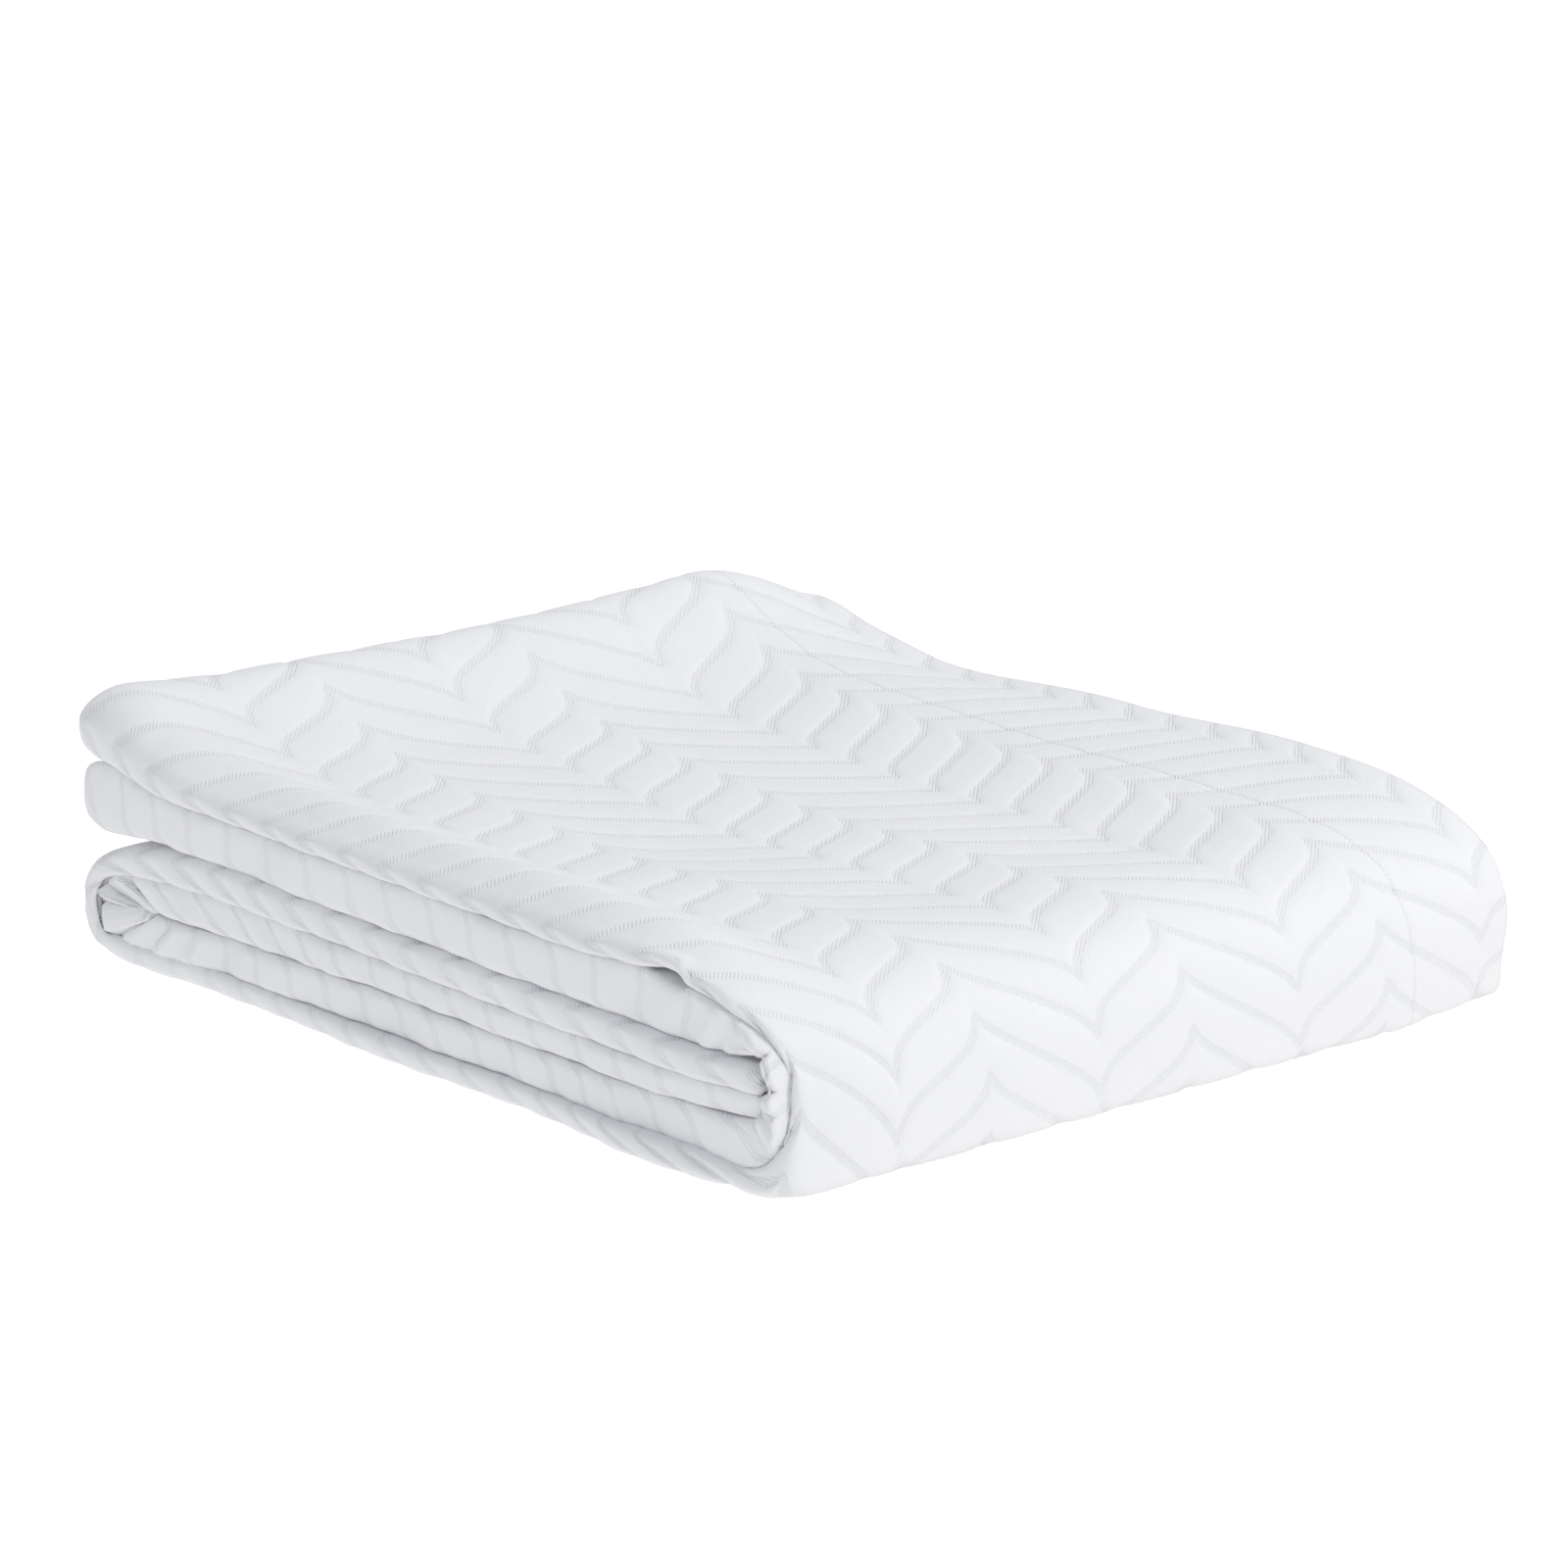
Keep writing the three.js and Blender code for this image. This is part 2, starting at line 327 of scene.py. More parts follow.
class Line:
    """A smooth line through the profile's points, as a function of the place's number."""

    def __init__(self, column):
        points = np.array([row[column] for row in PROFILE], float)
        first = 2 * points[0] - points[1]
        last = 2 * points[-1] - points[-2]
        self.points = np.vstack([first, points, last])
        steps = np.linalg.norm(np.diff(self.points, axis=0), axis=1)
        self.knots = np.sqrt(steps)

    def at(self, place):
        i = np.clip(np.floor(place).astype(int), 0, len(PROFILE) - 2)
        t = (place - i)[:, None]
        p0, p1, p2, p3 = (self.points[i + k] for k in range(4))
        d0, d1, d2 = (self.knots[i + k][:, None] for k in range(3))
        m1 = ((p1 - p0) / d0 - (p2 - p0) / (d0 + d1) + (p2 - p1) / d1) * d1
        m2 = ((p2 - p1) / d1 - (p3 - p1) / (d1 + d2) + (p3 - p2) / d2) * d1
        bend = -3 * p1 + 3 * p2 - 2 * m1 - m2
        twist = 2 * p1 - 2 * p2 + m1 + m2
        return p1 + t * (m1 + t * (bend + t * twist))


INNER, SPLIT, OUTER = Line(1), Line(2), Line(3)
PLACES = np.linspace(0, len(PROFILE) - 1, PROFILE_SAMPLES)
PLACE_STEPS = np.linalg.norm(np.diff(OUTER.at(PLACES), axis=0), axis=1)
LENGTHS = np.concatenate([[0], np.cumsum(PLACE_STEPS)])
SHEET_LENGTH = LENGTHS[-1]


def height_share(x, y):
    """The share of its height at the front that the bundle keeps at x and y."""
    depths, *columns = np.array(SAG_ROWS, float).T
    at_y = np.array([soft_line(y, depths, column, 9) for column in columns])
    left = np.clip(np.searchsorted(SAG_X, x) - 1, 0, len(SAG_X) - 2)
    edges = np.array(SAG_X, float)
    step = smooth(edges[left], edges[left + 1], x)
    return 1 - SAG * mix(at_y[left], at_y[left + 1], step)


def on_line(line, along, y):
    """Places on one of the profile's lines at depth y, as x and z."""
    points = line.at(np.interp(along, LENGTHS, PLACES))
    points[:, 1] *= height_share(points[:, 0], y)
    by_front = (1 - smooth(FRONT_FOLD, FRONT_FOLD + SIDE_CORNER_DEPTH, y)) ** SIDE_CORNER_POWER
    at_end = smooth(*SIDE_CORNER_X, points[:, 0]) * smooth(*SIDE_CORNER_Z, points[:, 1])
    points[:, 0] -= SIDE_CORNER * by_front * at_end
    if line is OUTER:
        by_back = smooth(FOOT_FROM_Y, BACK_EDGE, y)
        points[:, 0] -= FOOT_PULL * by_back * hump(along, FOOT_PLACE, FOOT_WIDTH)
    return points


def from_cut_end(along, start_length, end_length):
    """From 0 at either cut end of the sheet to 1 at the given length from it."""
    return np.clip(np.minimum(along / start_length, (SHEET_LENGTH - along) / end_length), 0, 1)


def layer_points(layer, along, y):
    """The middle line of one of the four layers, as x and z, and the cloth's thickness."""
    in_outer_roll = layer < 2
    high = on_line(OUTER if in_outer_roll else SPLIT, along, y)
    low = on_line(SPLIT if in_outer_roll else INNER, along, y)
    direction = high - low
    half = np.linalg.norm(direction, axis=1) / 2
    direction /= 2 * half[:, None]
    from_end = from_cut_end(along, LOBE_LENGTHS[layer // 2], END_LENGTH)
    thickness = np.minimum(mix(HEM_CLOTH, CLOTH, smooth(0, 1, from_end)), half - LAYER_GAP)
    closed = (thickness + LAYER_GAP) / 2
    rounded = np.sqrt(1 - (1 - from_end) ** END_ROUNDNESS)
    offset = mix(closed, half - closed, rounded)
    side = 1 if layer % 2 == 0 else -1
    return (high + low) / 2 + (side * offset)[:, None] * direction, thickness


def hooked(share, hook):
    """From 0 to 1 in an arm that turns towards the points at both of its ends."""
    off = 2 * share - 1
    return mix(share, (1 + np.sign(off) * np.abs(off) ** HOOK_POWER) / 2, hook)


def chevron(y):
    """1 at a valley line of the chevrons and 0 at a peak line."""
    place = ((y - VALLEY_Y) / CHEVRON_WIDTH) % 1
    upper = hooked(np.clip((UPPER_ARM - place) / UPPER_ARM, 0, 1), UPPER_HOOK)
    lower = hooked(np.clip((place - UPPER_ARM) / (1 - UPPER_ARM), 0, 1), LOWER_HOOK)
    return np.where(place < UPPER_ARM, upper, lower)


def skew(y):
    return ROW_PHASE + ROW_SKEW * y


def stretch(along):
    """How far the rows lie behind even ones, where the cloth is pulled over the right end."""
    return ROW_STRETCH * smooth(*STRETCHED, along)


def row_coordinate(along, y):
    """Whole numbers on the sewn channels, counted along the cloth."""
    return (along - stretch(along) - skew(y) - (chevron(y) - 1) * CHEVRON_DEPTH) / ROW


def across_places():
    """The grid's columns, each as (layer, y, turn). The turn is in degrees, or None on the flat."""
    count = round((BACK_EDGE - STRAIGHT_FRONT) / FINE_STEP)
    top = np.linspace(BACK_EDGE, STRAIGHT_FRONT, count + 1)
    top = [y for y in top if abs(y - HEM_SEAM_Y) > SEAM_CLEAR * SEAM_HALF]
    top += [HEM_SEAM_Y + k * SEAM_HALF for k in range(-2, 3)]
    places = [(0, y, None) for y in sorted(top, reverse=True)]
    hidden_layers = [
        (1, STRAIGHT_FRONT, STRAIGHT_BACK),
        (2, STRAIGHT_BACK, STRAIGHT_FRONT),
        (3, STRAIGHT_FRONT, BACK_EDGE),
    ]
    for layer, start, end in hidden_layers:
        turns = BACK_TURNS if layer == 2 else FRONT_TURNS
        places += [(layer - 1, start, 180 * k / turns) for k in range(1, turns)]
        between = HIDDEN_Y if end > start else HIDDEN_Y[::-1]
        places += [(layer, y, None) for y in (start, *between, end)]
    return places


def along_places():
    """The grid's rows before the shear, and the number of the last one in the part that shows."""
    half_depth = CHEVRON_DEPTH / 2
    first = math.ceil(half_depth / ROW)
    last = round((SHOWN_LENGTH + half_depth) / ROW)
    lines = [ROW * k - half_depth for k in range(first, last + 1)]
    shown = [line + step for line in lines for step in ROW_STEPS if line + step < SHOWN_LENGTH]
    left_count = max(2, math.ceil(shown[0] / END_STEP))
    left = list(np.linspace(0, shown[0], left_count))[:-1]
    rest_count = round((SHEET_LENGTH - shown[-1]) / FOLDED_STEP)
    rest = list(np.linspace(shown[-1], SHEET_LENGTH, rest_count + 1))[1:]
    return np.array(left + shown + rest), len(left + shown) - 1


ALONG, LAST_SHOWN = along_places()
ACROSS = across_places()
ON_TOP = np.array([layer == 0 and turn is None for layer, _, turn in ACROSS])
TOP_COLUMNS = int(ON_TOP.sum())


def cloth_across():
    """Each column's own coordinate across the flat cloth, which is y on the top layer."""
    values = [ACROSS[0][1]]
    edge = values[0]
    for before, (layer, y, turn) in zip(ACROSS, ACROSS[1:]):
        if turn is not None:
            values.append(edge - FOLD_LENGTHS[layer] * turn / 180)
            continue
        if layer == 0:
            edge = y
        elif before[2] is None:
            edge -= abs(y - before[1])
        else:
            edge -= FOLD_LENGTHS[before[0]]
        values.append(edge)
    return np.array(values)


CLOTH_V = cloth_across()


def column_along(k):
    """Where the grid's rows cross a column, sheared so that they follow the chevrons."""
    if ACROSS[k][0] > 0:
        return ALONG.copy()
    shift = (chevron(CLOTH_V[k]) - 0.5) * CHEVRON_DEPTH + skew(CLOTH_V[k])
    return ALONG + plateau(SHEARED, ALONG) * shift + stretch(ALONG)


def ripple(along, pitch, phase):
    """An uneven wave between -1 and 1."""
    turn = 2 * math.pi * along / pitch
    first = np.sin(turn + phase)
    second = np.sin(SECOND_PITCH * turn + SECOND_PHASE * phase)
    return WAVE_SHARES[0] * first + WAVE_SHARES[1] * second


def split_depth(along):
    """The depth of the crease between the strip's two rolls."""
    return CREASE * (1 - CREASE_LOSS * plateau(CREASE_CLOSED, along))


def round_down(turned, along):
    """The height that the outer layer keeps on its way round the front, from 1 to 0."""
    power = np.interp(along, ROUND_PLACES, ROUND_POWERS)
    return (1 - np.clip(turned, 0, 1) ** 2) ** power


def across_roll(layer, first, second, up, along):
    """A place between a roll's two layers. "up" is 1 at the first, 0 foremost, -1 at the second."""
    front = np.interp(along, FRONT_PLACES, FRONT_HEIGHTS) if layer == 0 else MIDDLE_HEIGHT
    level = np.where(up > 0, mix(front, 1, up), front * (1 + up))
    return second + (first - second) * np.reshape(level, (-1, 1))


def rim_lift(along, y):
    return RIM_LIFT * plateau(RIM_ALONG, along) * hump(y, RIM_Y, RIM_WIDTH)


def front_shift(along, in_inner_roll):
    """How far a roll stays behind the straight front: at its cut ends, and unevenly along it."""
    depth = np.where(along < SHEET_LENGTH / 2, LOBE_CORNER, END_CORNER)
    from_end = from_cut_end(along, LOBE_CORNER, END_CORNER)
    shift = depth * (1 - np.sqrt(1 - (1 - from_end) ** 2))
    shift += END_RECESS * smooth(SHEET_LENGTH - END_RECESS_LENGTH, SHEET_LENGTH, along)
    recess = INNER_RECESS if in_inner_roll else OUTER_RECESS
    shift += soft_line(along, RECESS_PLACES, recess, 5)
    for height, pitch, phase in INNER_WAVES if in_inner_roll else OUTER_WAVES:
        shift += height * ripple(along, pitch, phase)
    if in_inner_roll:
        height, pitch, phase = CRUMPLE_WAVE
        crumpled = sum(hump(along, place, width) for place, width in CRUMPLES)
        shift += INNER_DEPTH + height * crumpled * ripple(along, pitch, phase)
    return shift


def notch(x, edges):
    """1 where the crease gapes before it ends at the right."""
    start, full = edges
    return plateau((start, full, full + NOTCH_CLOSING[0], full + NOTCH_CLOSING[1]), x)


def notch_shares(layer, turn):
    """How far a column moves with the gap between the rolls and with the gap under them."""
    if layer == 0:
        return (0 if turn is None else min(1, turn / 90)), 0
    if layer == 1:
        return (1 if turn is None else 0), 0
    if layer == 2:
        half_turns = 0 if turn is None else turn / 90
        return (-NOTCH_DROP if half_turns < 1 else 0), (1 if half_turns > 1 else 0)
    return 0, 1


def notch_lift(layer, y, turn, x, along):
    """How far a place moves up where the creases gape."""
    opening = NOTCH_OPENING * (1 - smooth(*TOP_THIRD_END, along))
    if turn is None:
        opening *= 1 - smooth(*NOTCH_Y, y)
    between, under = notch_shares(layer, turn)
    return opening * (between * notch(x, BETWEEN_ROLLS_X) + under * notch(x, UNDER_ROLLS_X))


def straight_point(layer, y, along):
    """A place in one of the four layers, as x and z, its y and its thickness."""
    own, thickness = layer_points(layer, along, y)
    shift = front_shift(along, layer > 1) * smooth(RECESS_FROM_Y, STRAIGHT_FRONT, y)
    if layer == 0:
        own[:, 1] += rim_lift(along, y)
        reach = np.interp(along, REACH_PLACES, REACHES)
        kept = round_down((FRONT_FOLD + reach - y) / reach, along)
        below = layer_points(1, along, y)[0]
        return across_roll(0, own, below, kept, along), y + shift, thickness
    if y == STRAIGHT_FRONT:
        y = FRONT_FOLD + (split_depth(along) if layer < 3 else CREASE)
    return own, y + shift, thickness


def front_turn(layer, turn, along):
    """A place in the fold that joins a layer to the next at the front."""
    first, thick_first = layer_points(layer, along, STRAIGHT_FRONT)
    second, thick_second = layer_points(layer + 1, along, STRAIGHT_FRONT)
    if layer == 0:
        first[:, 1] += rim_lift(along, STRAIGHT_FRONT)
    if layer == 0 and turn < 90:
        reach = np.interp(along, REACH_PLACES, REACHES)
        start = np.arcsin((reach - FOLD_REACH) / reach)
        turned = np.sin(mix(start, math.pi / 2, turn / 90))
        up = round_down(turned, along)
        y = FRONT_FOLD + reach * (1 - turned)
    else:
        angle = math.radians(turn)
        fullness = mix(LOBE_FULLNESS, FULLNESS, smooth(0, LOBE_END, along))
        up = math.copysign(1, math.cos(angle)) * abs(math.cos(angle)) ** fullness
        by_split = (layer == 0) == (turn >= 90)
        depth = split_depth(along) if by_split else CREASE
        y = FRONT_FOLD + depth * (1 - math.sin(angle) ** fullness)
    place = across_roll(layer, first, second, up, along)
    return place, y + front_shift(along, layer > 1), mix(thick_first, thick_second, turn / 180)


def back_turn(turn, along):
    """A place in the fold that joins the two inner layers at the back."""
    first, thick_first = layer_points(1, along, STRAIGHT_BACK)
    second, thick_second = layer_points(2, along, STRAIGHT_BACK)
    angle = math.radians(turn)
    radius = (first - second) / 2
    reach = np.minimum(np.linalg.norm(radius, axis=1), BACK_REACH)
    place = (first + second) / 2 + radius * math.cos(angle)
    y = STRAIGHT_BACK + reach * math.sin(angle)
    return place, y, mix(thick_first, thick_second, turn / 180)


def middle_surface():
    """The cloth's middle surface on the whole grid, its thickness and its place along the cloth."""
    shape = (len(ALONG), len(ACROSS))
    points = np.zeros((*shape, 3))
    thickness = np.zeros(shape)
    along_grid = np.zeros(shape)
    for k, (layer, y, turn) in enumerate(ACROSS):
        along = column_along(k)
        if turn is None:
            place, depth, thickness[:, k] = straight_point(layer, y, along)
        elif layer == 1:
            place, depth, thickness[:, k] = back_turn(turn, along)
        else:
            place, depth, thickness[:, k] = front_turn(layer, turn, along)
        x, z = place.T
        points[:, k, 0] = x
        points[:, k, 1] = depth
        points[:, k, 2] = z + notch_lift(layer, y, turn, x, along)
        along_grid[:, k] = along
    return points, thickness, along_grid


def normals_of(points):
    """The surface's directions, which are zero where the grid has no area."""
    d_along = np.gradient(points, axis=0)
    d_across = np.gradient(points, axis=1)
    normal = np.cross(d_across, d_along)
    return normal / np.maximum(np.linalg.norm(normal, axis=2, keepdims=True), NO_LENGTH)


def channel_distance(along_grid):
    """The row coordinate, the cosine that turns it across the arm, and the channel's distance."""
    row = row_coordinate(along_grid, CLOTH_V)
    slope = (chevron(CLOTH_V + 0.5) - chevron(CLOTH_V - 0.5)) * CHEVRON_DEPTH
    cosine = np.broadcast_to(1 / np.sqrt(1 + slope**2), row.shape)
    distance = np.abs((row + 0.5) % 1 - 0.5) * ROW * cosine
    return row, cosine, distance


def column_relief(layer, turn):
    """How much of the quilting's relief a column can show."""
    if turn is None:
        return 1 if layer == 0 else 0
    angle = math.radians(turn)
    if layer == 0:
        return min(1, ROLL_RELIEF * math.cos(angle / 2))
    return INNER_ROLL_RELIEF * math.sin(angle) if layer == 2 else 0


def relief_share(along_grid):
    """How much of the relief each place shows: none where the cloth is pressed flat."""
    share = np.array([column_relief(layer, turn) for layer, _, turn in ACROSS])
    on_floor = plateau(ON_FLOOR, along_grid)
    pressed = np.maximum(on_floor, smooth(*UNDER_TOP, along_grid)) * ON_TOP
    to_hem = smooth(BACK_EDGE, BACK_EDGE - HEM_FADE, CLOTH_V) * smooth(0, HEM_FADE, along_grid)
    return share * (1 - FLOOR_LOSS * on_floor) * (1 - pressed) * to_hem


def good_side(points, thickness, normal, along_grid):
    """The face of the cloth that shows, with the coordinates of its channels."""
    row, cosine, distance = channel_distance(along_grid)
    channel = 1 - smooth(CHANNEL_HALF - CHANNEL_INSIDE, CHANNEL_HALF + CHANNEL_EASE, distance)
    puff = PUFF * smooth(CHANNEL_HALF, PUFF_REACH, distance)
    relief = (puff - CHANNEL_SINK * channel) * relief_share(along_grid)
    seam_off = np.abs(CLOTH_V - HEM_SEAM_Y)
    relief -= SEAM_SINK * np.clip(1 - seam_off / (2 * SEAM_HALF), 0, 1)
    offset = thickness / 2 + relief
    return points + normal * offset[:, :, None], row, cosine


def zones():
    """The cell size of each zone of the grid, on the good side and on the back."""
    shown = LAST_SHOWN
    last = len(ALONG) - 1
    hidden = len(HIDDEN_Y) + 1
    edges = np.cumsum([TOP_COLUMNS - 1, FRONT_TURNS, hidden, BACK_TURNS, hidden, FRONT_TURNS])
    top_end, layer_1, back_fold, layer_2, fold_2, layer_3 = (int(edge) for edge in edges)
    wrap_start, wrap_end = (int(np.searchsorted(ALONG, edge)) for edge in LEFT_WRAP)
    good = [
        ((0, shown), (0, top_end), FINE_CELL),
        ((shown, wrap_start), (0, top_end), FLAT_CELL),
        ((wrap_start, wrap_end), (0, top_end), BENT_CELL),
        ((wrap_end, last), (0, top_end), FLAT_CELL),
        ((0, last), (top_end, layer_1), FINE_CELL),
        ((0, last), (layer_1, fold_2), STRIP_CELL),
        ((0, shown), (fold_2, layer_3), TURN_CELL),
        ((shown, last), (fold_2, layer_3), FINE_CELL),
        ((0, last), (layer_3, len(ACROSS) - 1), STRIP_CELL),
    ]
    back = [
        ((0, last), (0, top_end), FLAT_CELL),
        ((0, last), (top_end, layer_1), ROLL_BACK_CELL),
        ((0, last), (layer_1, back_fold), STRIP_CELL),
        ((0, last), (back_fold, layer_2), TURN_CELL),
        ((0, last), (layer_2, fold_2), STRIP_CELL),
        ((0, last), (fold_2, layer_3), ROLL_BACK_CELL),
        ((0, last), (layer_3, len(ACROSS) - 1), STRIP_CELL),
    ]
    return good, back


def cells_of(zone_list):
    cells = []
    for (i_start, i_end), (j_start, j_end), (i_step, j_step) in zone_list:
        edges_i = [*range(i_start, i_end, i_step), i_end]
        edges_j = [*range(j_start, j_end, j_step), j_end]
        for i0, i1 in zip(edges_i, edges_i[1:]):
            cells += [(i0, i1, j0, j1) for j0, j1 in zip(edges_j, edges_j[1:])]
    return cells


def loops_of(cells):
    """The polygons of one face of the sheet, as lists of grid places, and the places they use.

    A large cell takes in the vertices that its finer neighbours leave on its edges.
    """
    used = np.zeros((len(ALONG), len(ACROSS)), bool)
    for i0, i1, j0, j1 in cells:
        used[[i0, i0, i1, i1], [j0, j1, j0, j1]] = True
    loops = []
    for i0, i1, j0, j1 in cells:
        loop = [(i0, j) for j in range(j0, j1) if used[i0, j]]
        loop += [(i, j1) for i in range(i0, i1) if used[i, j1]]
        loop += [(i1, j) for j in range(j1, j0, -1) if used[i1, j]]
        loop += [(i, j0) for i in range(i1, i0, -1) if used[i, j0]]
        loops.append(loop)
    return loops, used


def rim_loops(good_used, back_used):
    """The polygons round the sheet's four edges, as (face, i, j) places."""
    rows, columns = good_used.shape
    edges = [
        ([(i, 0) for i in range(rows)], False),
        ([(rows - 1, j) for j in range(columns)], False),
        ([(i, columns - 1) for i in range(rows)], True),
        ([(0, j) for j in range(columns)], True),
    ]
    loops = []
    for places, flip in edges:
        both = [k for k, place in enumerate(places) if good_used[place] and back_used[place]]
        for a, b in zip(both, both[1:]):
            between = places[a : b + 1]
            loop = [(0, *place) for place in between if good_used[place]]
            loop += [(1, *place) for place in reversed(between) if back_used[place]]
            loops.append(loop[::-1] if flip else loop)
    return loops


def build_sheet():
    points, thickness, along_grid = middle_surface()
    normal = normals_of(points)
    good, row, cosine = good_side(points, thickness, normal, along_grid)
    back = points - normal * (thickness / 2)[:, :, None]
    good_zones, back_zones = zones()
    good_loops, good_used = loops_of(cells_of(good_zones))
    back_loops, back_used = loops_of(cells_of(back_zones))
    numbers = np.full((2, *good_used.shape), -1)
    numbers[0][good_used] = np.arange(good_used.sum())
    numbers[1][back_used] = good_used.sum() + np.arange(back_used.sum())
    vertices = np.vstack([good[good_used], back[back_used]])
    vertices[:, 2] = np.maximum(vertices[:, 2], FLOOR_GAP)
    faces = [[int(numbers[0][place]) for place in loop] for loop in good_loops]
    faces += [[int(numbers[1][place]) for place in reversed(loop)] for loop in back_loops]
    faces += [[int(numbers[place]) for place in loop] for loop in rim_loops(good_used, back_used)]
    mesh = bpy.data.meshes.new("coverlet_sheet")
    mesh.from_pydata((vertices * MM).tolist(), [], faces)
    mesh.validate()
    across_grid = np.broadcast_to(CLOTH_V, good_used.shape)
    layers = {
        "cloth": np.stack([along_grid * MM, across_grid * MM], axis=-1),
        "rows": np.stack([row, cosine], axis=-1),
    }
    corner_vertex = np.zeros(len(mesh.loops), int)
    mesh.loops.foreach_get("vertex_index", corner_vertex)
    for name, grid in layers.items():
        values = np.vstack([grid[good_used], grid[back_used]])
        mesh.uv_layers.new(name=name).data.foreach_set("uv", values[corner_vertex].ravel())
    mesh.shade_smooth()
    sheet = bpy.data.objects.new("coverlet_sheet", mesh)
    bpy.context.scene.collection.objects.link(sheet)
    return sheet


def set_inputs(node, values):
    for name, value in values.items():
        node.inputs[name].default_value = value


class Nodes:
    """Shorthand for the nodes of one material."""

    def __init__(self, material):
        self.tree = material.node_tree

    def add(self, kind, **settings):
        node = self.tree.nodes.new(kind)
        for name, value in settings.items():
            setattr(node, name, value)
        return node

    def link(self, output, target):
        self.tree.links.new(output, target)

    def maths(self, operation, *values):
        step = self.add("ShaderNodeMath", operation=operation)
        for k, value in enumerate(values):
            if isinstance(value, (int, float)):
                step.inputs[k].default_value = value
            else:
                self.link(value, step.inputs[k])
        return step.outputs[0]

    def times(self, a, b):
        return self.maths("MULTIPLY", a, b)

    def one_minus(self, value):
        return self.maths("SUBTRACT", 1.0, value)

    def distance(self, a, b):
        return self.maths("ABSOLUTE", self.maths("SUBTRACT", a, b))

    def ease(self, value, start, end):
        step = self.add("ShaderNodeMapRange", interpolation_type="SMOOTHSTEP")
        self.link(value, step.inputs[0])
        step.inputs[1].default_value = start
        step.inputs[2].default_value = end
        return step.outputs[0]

    def mapped(self, name):
        """A UV map, and its two coordinates."""
        uv = self.add("ShaderNodeUVMap", uv_map=name).outputs[0]
        split = self.add("ShaderNodeSeparateXYZ")
        self.link(uv, split.inputs[0])
        return uv, split.outputs[0], split.outputs[1]

    def noise(self, uv, values):
        texture = self.add("ShaderNodeTexNoise")
        set_inputs(texture, values)
        self.link(uv, texture.inputs["Vector"])
        return texture.outputs[0]

    def waves(self, u, v, along_u, along_v, pitch):
        """A sine over the cloth, with its pitch in millimetres."""
        turn = 2 * math.pi / (pitch * MM)
        place = self.maths("ADD", self.times(u, along_u * turn), self.times(v, along_v * turn))
        return self.maths("SINE", place)

    def blend(self, share, blend_type):
        """A mix of two colours, as its two colour inputs and its result."""
        step = self.add("ShaderNodeMix", data_type="RGBA", blend_type=blend_type)
        self.link(share, step.inputs[0])
        return step.inputs[6], step.inputs[7], step.outputs[2]


def quilt_material():
    material = bpy.data.materials.new("white quilted cotton")
    material.use_nodes = True
    nodes = Nodes(material)
    nodes.tree.nodes.clear()
    out = nodes.add("ShaderNodeOutputMaterial")
    shader = nodes.add("ShaderNodeBsdfPrincipled")
    nodes.link(shader.outputs[0], out.inputs[0])
    set_inputs(shader, COTTON_SHADER)

    uv, u, v = nodes.mapped("cloth")
    _, row, cosine = nodes.mapped("rows")
    from_row = nodes.distance(nodes.maths("FRACT", nodes.maths("ADD", row, 0.5)), 0.5)
    from_channel = nodes.times(nodes.times(from_row, ROW), cosine)
    edges = [CHANNEL_HALF + edge for edge in BAND_EDGE]
    band = nodes.one_minus(nodes.ease(from_channel, *edges))
    ribs = nodes.times(nodes.waves(u, v, DIAGONAL, DIAGONAL, RIB_PITCH), band)
    warp = nodes.waves(u, v, 1, 0, WEAVE_PITCH)
    weft = nodes.waves(u, v, 0, 1, WEAVE_PITCH)
    weave = nodes.times(nodes.times(warp, weft), nodes.one_minus(band))
    from_seam = nodes.distance(v, HEM_SEAM_Y * MM)
    seam = nodes.one_minus(nodes.ease(from_seam, *(edge * MM for edge in SEAM_EDGE)))
    stitches = nodes.times(seam, nodes.waves(u, v, 1, 0, STITCH_PITCH))
    bumps = [
        (ribs, RIB_BUMP),
        (weave, WEAVE_BUMP),
        (band, BAND_BUMP),
        (seam, SEAM_BUMP),
        (stitches, STITCH_BUMP),
        (nodes.noise(uv, WRINKLES), WRINKLE_BUMP),
    ]
    height = 0.0
    for value, depth in bumps:
        height = nodes.maths("ADD", nodes.times(value, depth), height)
    bump = nodes.add("ShaderNodeBump")
    set_inputs(bump, {"Strength": 1.0, "Distance": MM})
    nodes.link(height, bump.inputs["Height"])
    nodes.link(bump.outputs[0], shader.inputs["Normal"])

    first, second, tone = nodes.blend(nodes.noise(uv, TONE_PATCHES), "MIX")
    first.default_value, second.default_value = COTTON_TONES
    # The sewn channels are darkened in the base colour: painted shade in the channels
    plain, shade, colour = nodes.blend(nodes.times(band, PAINTED_CHANNEL_SHADE_SHARE), "MULTIPLY")
    nodes.link(tone, plain)
    shade.default_value = PAINTED_CHANNEL_SHADE_TONE
    nodes.link(colour, shader.inputs["Base Color"])
    return material


def add_object(name, data):
    new = bpy.data.objects.new(name, data)
    bpy.context.scene.collection.objects.link(new)
    return new


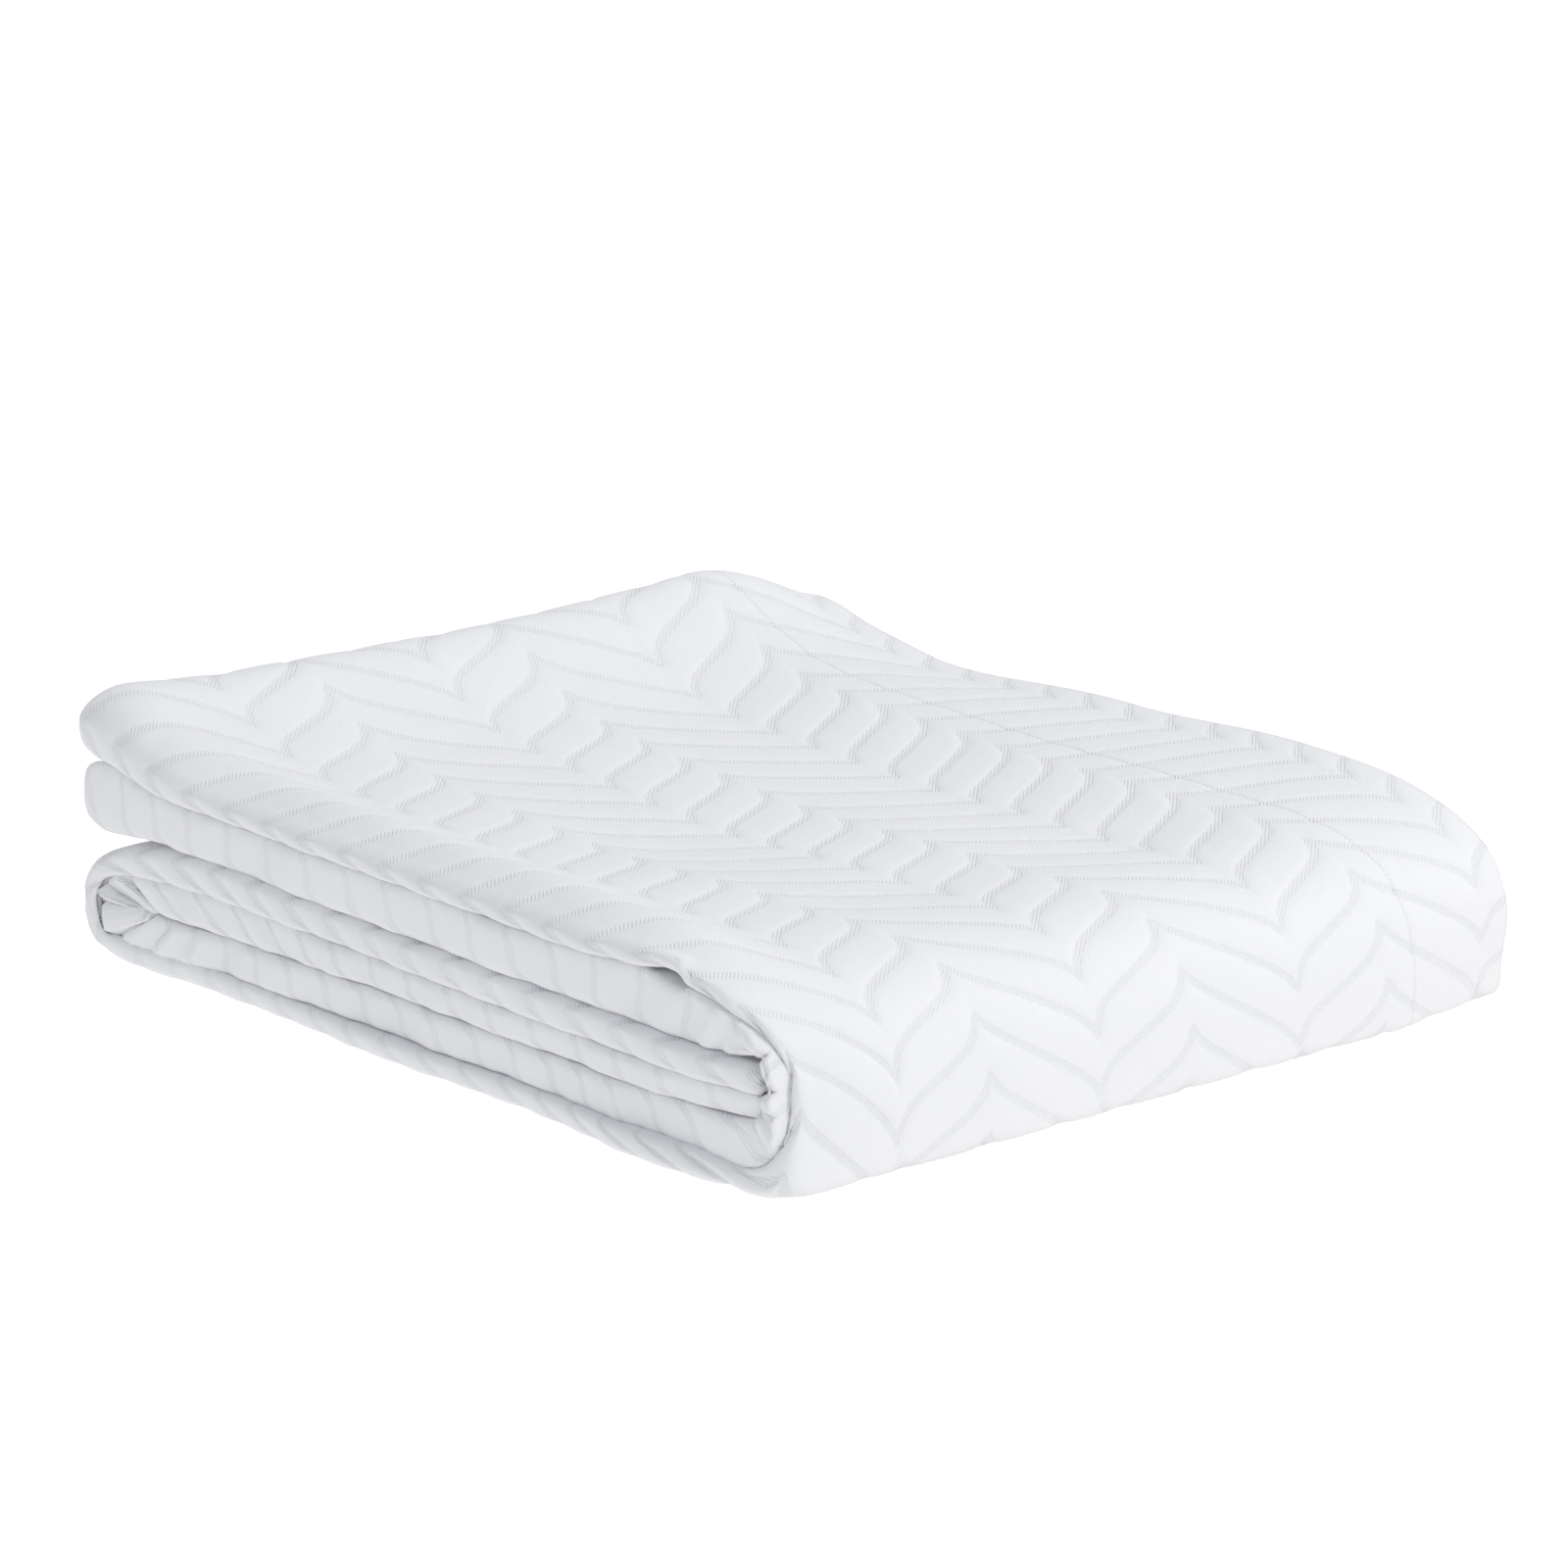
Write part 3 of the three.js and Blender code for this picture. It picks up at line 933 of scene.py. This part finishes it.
def facing_origin(direction):
    """The turn of a camera or light that looks at the origin from this direction."""
    return direction.to_track_quat("Z", "Y").to_euler()


def add_camera():
    data = bpy.data.cameras.new("camera")
    data.sensor_width = SENSOR_MM
    data.lens = SENSOR_MM * FOCAL_PX / IMAGE_PX
    data.shift_x = -(ORIGIN_PX[0] - IMAGE_PX / 2) / IMAGE_PX
    data.shift_y = (ORIGIN_PX[1] - IMAGE_PX / 2) / IMAGE_PX
    azimuth = math.radians(CAMERA_AZIMUTH)
    elevation = math.radians(CAMERA_ELEVATION)
    flat = math.cos(elevation)
    back = Vector((math.sin(azimuth) * flat, -math.cos(azimuth) * flat, math.sin(elevation)))
    camera = add_object("camera", data)
    camera.location = back * CAMERA_DISTANCE
    camera.rotation_euler = facing_origin(back)
    bpy.context.scene.camera = camera


def add_floor():
    mesh = bpy.data.meshes.new("floor")
    signs = [(-1, -1), (1, -1), (1, 1), (-1, 1)]
    corners = [(x * FLOOR_HALF, y * FLOOR_HALF, 0) for x, y in signs]
    mesh.from_pydata(corners, [], [(0, 1, 2, 3)])
    material = bpy.data.materials.new("pale floor")
    material.use_nodes = True
    set_inputs(material.node_tree.nodes["Principled BSDF"], FLOOR_SHADER)
    mesh.materials.append(material)
    add_object("floor", mesh)


def add_lights():
    for name, place, size, power, colour in LIGHTS:
        data = bpy.data.lights.new(name, "AREA")
        data.shape = "DISK"
        data.size = size
        data.energy = power
        data.color = colour
        light = add_object(name, data)
        light.location = place
        light.rotation_euler = facing_origin(Vector(place))
    world = bpy.data.worlds.new("studio")
    world.use_nodes = True
    background = world.node_tree.nodes["Background"]
    set_inputs(background, {"Color": WORLD_COLOUR, "Strength": WORLD_STRENGTH})
    bpy.context.scene.world = world
    bpy.context.scene.view_settings.view_transform = "Standard"
    bpy.context.scene.cycles.diffuse_bounces = DIFFUSE_BOUNCES


add_camera()
add_floor()
add_lights()

sheet = build_sheet()
sheet.data.materials.append(quilt_material())
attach(sheet, "root")
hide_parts("coverlet")
